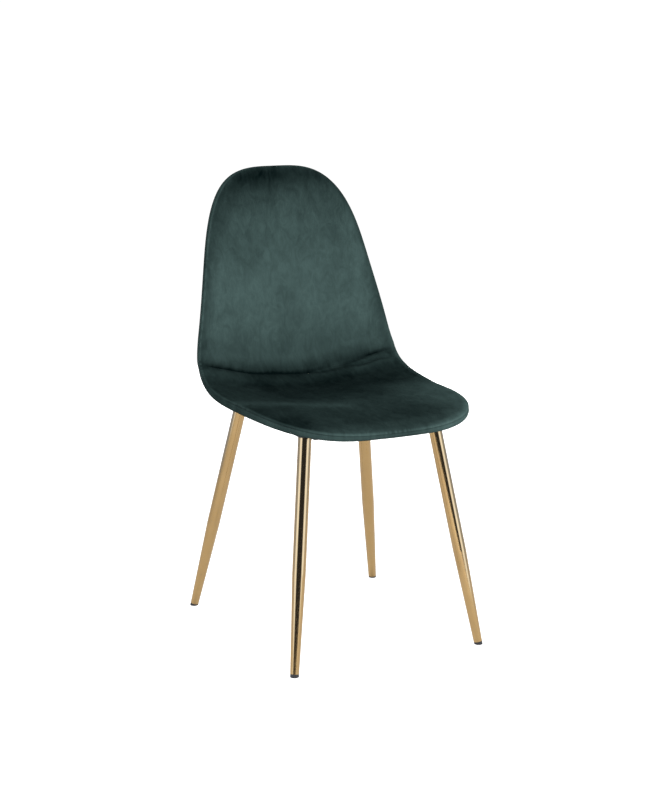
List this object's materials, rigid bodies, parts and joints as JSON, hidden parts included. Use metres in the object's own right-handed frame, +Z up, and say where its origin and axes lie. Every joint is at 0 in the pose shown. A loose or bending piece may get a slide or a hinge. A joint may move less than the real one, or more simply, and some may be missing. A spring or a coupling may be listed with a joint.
{
  "type": "dining chair",
  "caption": "Upholstered dining chair with a one-piece velvet seat-and-back shell on splayed, tapered, brass-coloured tube legs.",
  "frame": {"origin": "on the floor, at the centre of the bounding box seen from above", "axes": "+Z up; the sitter looks along -Y; +X is the sitter's left, and left and right in node names are the sitter's"},
  "size_m": [0.4312, 0.5417, 0.8653],
  "materials": {
    "velvet": "short-pile velvet with a soft sheen",
    "wadding": "thin white polyester wadding",
    "foam": "cut polyurethane foam",
    "plywood": "moulded plywood, bare",
    "brass_coloured_steel": "polished, brass-coloured plating on steel tube",
    "powder_coated_steel": "matt black powder coat",
    "black_oxide_steel": "black oxide",
    "zinc_plated_steel": "bright zinc plate",
    "black_plastic": "moulded, matt"
  },
  "bodies": {
    "root": {"back_foam": "foam", "frame_bolts": "black_oxide_steel", "frame_spacers": "black_plastic", "frame_washers": "zinc_plated_steel", "front_cover": "velvet", "front_cross_rail": "powder_coated_steel", "front_left_foot_glide": "black_plastic", "front_left_leg": "brass_coloured_steel", "front_left_leg_socket": "powder_coated_steel", "front_right_foot_glide": "black_plastic", "front_right_leg": "brass_coloured_steel", "front_right_leg_socket": "powder_coated_steel", "left_side_rail": "powder_coated_steel", "leg_set_screws": "black_oxide_steel", "plywood_shell": "plywood", "rail_end_caps": "black_plastic", "rear_cover": "velvet", "rear_cross_rail": "powder_coated_steel", "rear_left_foot_glide": "black_plastic", "rear_left_leg": "brass_coloured_steel", "rear_left_leg_socket": "powder_coated_steel", "rear_right_foot_glide": "black_plastic", "rear_right_leg": "brass_coloured_steel", "rear_right_leg_socket": "powder_coated_steel", "rear_wadding": "wadding", "right_side_rail": "powder_coated_steel", "seat_foam": "foam", "t_nuts": "zinc_plated_steel"}
  },
  "joints": []
}
